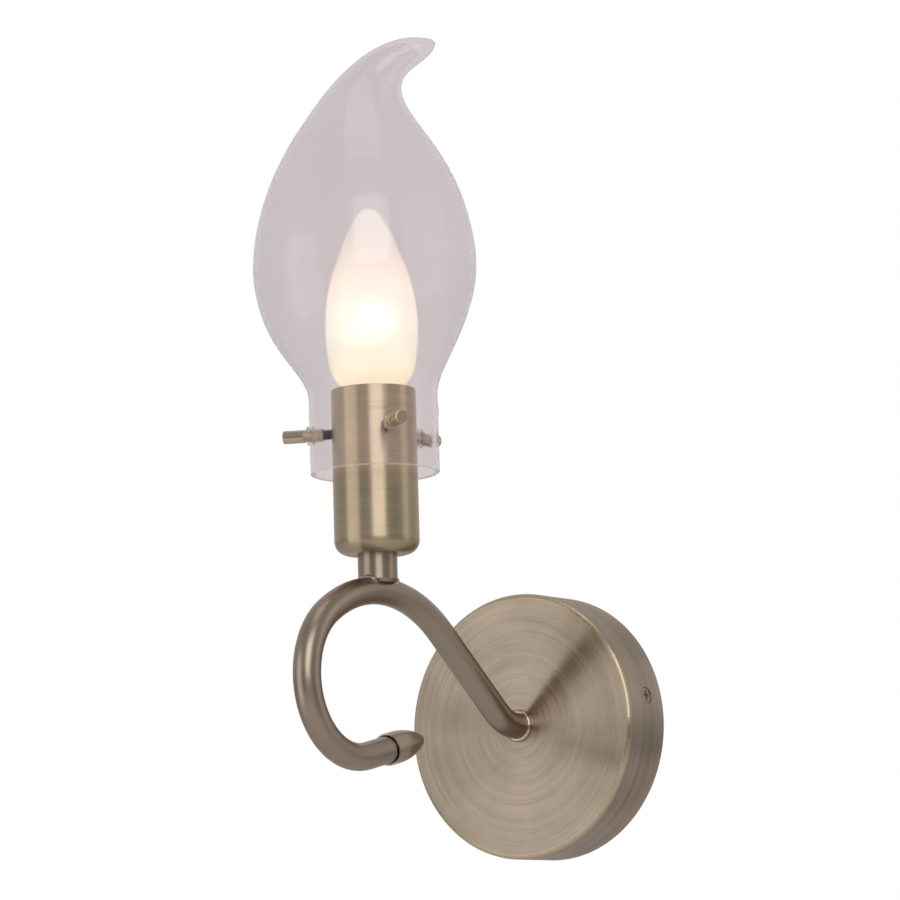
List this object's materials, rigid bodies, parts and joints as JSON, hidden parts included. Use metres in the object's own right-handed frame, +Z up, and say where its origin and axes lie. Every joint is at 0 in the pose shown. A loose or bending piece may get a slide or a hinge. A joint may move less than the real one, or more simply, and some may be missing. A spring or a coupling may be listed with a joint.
{
  "type": "wall sconce",
  "caption": "Wall sconce: a clear glass flame over a candle lamp, on a brushed brass cup carried by a scrolled arm from a round wall canopy.",
  "frame": {"origin": "centre of the wall screw circle on the wall plane, which is also the canopy's centre", "axes": "+X right when facing the wall, +Y into the wall, +Z up along the candle"},
  "size_m": [0.1008, 0.1569, 0.3002],
  "materials": {
    "brushed_brass": "antique brass, brushed round its axis",
    "satin_brass": "antique brass, satin",
    "polished_brass": "antique brass, polished",
    "plain_brass": "plain turned brass",
    "zinc_steel": "zinc plated",
    "nickel": "nickel plated, satin",
    "tinned_copper": "tinned",
    "tungsten": "glowing",
    "clear_glass": "clear, polished",
    "frosted_glass": "frosted, lit from inside",
    "black_glass": "opaque, glossy",
    "clear_plastic": "translucent",
    "white_plastic": "moulded",
    "black_plastic": "moulded",
    "porcelain": null,
    "line_insulation": "flexible insulation",
    "neutral_insulation": "flexible insulation",
    "earth_insulation": "flexible insulation"
  },
  "bodies": {
    "fixture": {"canopy": "brushed_brass", "canopy_screws": "satin_brass", "wall_bracket": "zinc_steel", "earth_screw": "plain_brass", "terminal_block": "white_plastic", "terminal_inserts": "plain_brass", "terminal_screws": "zinc_steel", "block_screw": "zinc_steel", "arm_tube": "satin_brass", "arm_ferrule": "polished_brass", "arm_nut": "zinc_steel", "arm_lock_washer": "zinc_steel", "earth_tags": "tinned_copper", "earth_wire": "earth_insulation", "line_wire": "line_insulation", "neutral_wire": "neutral_insulation", "finial": "satin_brass", "stem_collar": "satin_brass", "stem_nipple": "zinc_steel", "candle_cup": "brushed_brass", "cup_washer": "zinc_steel", "cup_nut": "zinc_steel", "screw_bushes": "plain_brass", "lampholder_base": "black_plastic", "lampholder_shell": "black_plastic", "lampholder_disc": "porcelain", "lampholder_thread": "plain_brass", "lampholder_contact": "plain_brass", "lampholder_terminals": "plain_brass", "shade_glass": "clear_glass"},
    "lamp_foot": {"lamp_contact": "nickel"},
    "lamp": {"lamp_cap": "nickel", "lamp_insulator": "black_glass", "lamp_envelope": "frosted_glass", "lamp_stem": "clear_glass", "lamp_leads": "nickel", "lamp_filament": "tungsten"},
    "sleeve_1": {"shade_sleeve_1": "clear_plastic"},
    "screw_1": {"shade_screw_1": "polished_brass"},
    "sleeve_2": {"shade_sleeve_2": "clear_plastic"},
    "screw_2": {"shade_screw_2": "polished_brass"},
    "sleeve_3": {"shade_sleeve_3": "clear_plastic"},
    "screw_3": {"shade_screw_3": "polished_brass"}
  },
  "joints": [
    {"name": "screw_1_travel", "type": "slide", "parent": "fixture", "child": "sleeve_1", "axis": [-0.9135, -0.4067, 0], "range_m": [0, 0.0035]},
    {"name": "screw_1_turn", "type": "hinge", "parent": "sleeve_1", "child": "screw_1", "pos_m": [-0.01416, -0.11571, 0.10318], "axis": [-0.9135, -0.4067, 0], "range_deg": [0, 1800]},
    {"name": "screw_2_travel", "type": "slide", "parent": "fixture", "child": "sleeve_2", "axis": [0.809, -0.5878, 0], "range_m": [0, 0.0035]},
    {"name": "screw_2_turn", "type": "hinge", "parent": "sleeve_2", "child": "screw_2", "pos_m": [0.01254, -0.11852, 0.10318], "axis": [0.809, -0.5878, 0], "range_deg": [0, 1800]},
    {"name": "screw_3_travel", "type": "slide", "parent": "fixture", "child": "sleeve_3", "axis": [0.1045, 0.9945, 0], "range_m": [0, 0.0035]},
    {"name": "screw_3_turn", "type": "hinge", "parent": "sleeve_3", "child": "screw_3", "pos_m": [0.00162, -0.09399, 0.10318], "axis": [0.1045, 0.9945, 0], "range_deg": [0, 1800]},
    {"name": "lamp_rise", "type": "slide", "parent": "fixture", "child": "lamp_foot", "axis": [0, 0, 1], "range_m": [0, 0.01128]},
    {"name": "lamp_turn", "type": "hinge", "parent": "lamp_foot", "child": "lamp", "pos_m": [0, -0.10941, 0.08739], "axis": [0, 0, 1], "range_deg": [0, 1440]}
  ],
  "couplings": [
    {"joint": "screw_1_turn", "follows": "screw_1_travel", "rad_per_m": 8976},
    {"joint": "screw_2_turn", "follows": "screw_2_travel", "rad_per_m": 8976},
    {"joint": "screw_3_turn", "follows": "screw_3_travel", "rad_per_m": 8976},
    {"joint": "lamp_rise", "follows": "lamp_turn", "m_per_rad": 0.0004488}
  ]
}
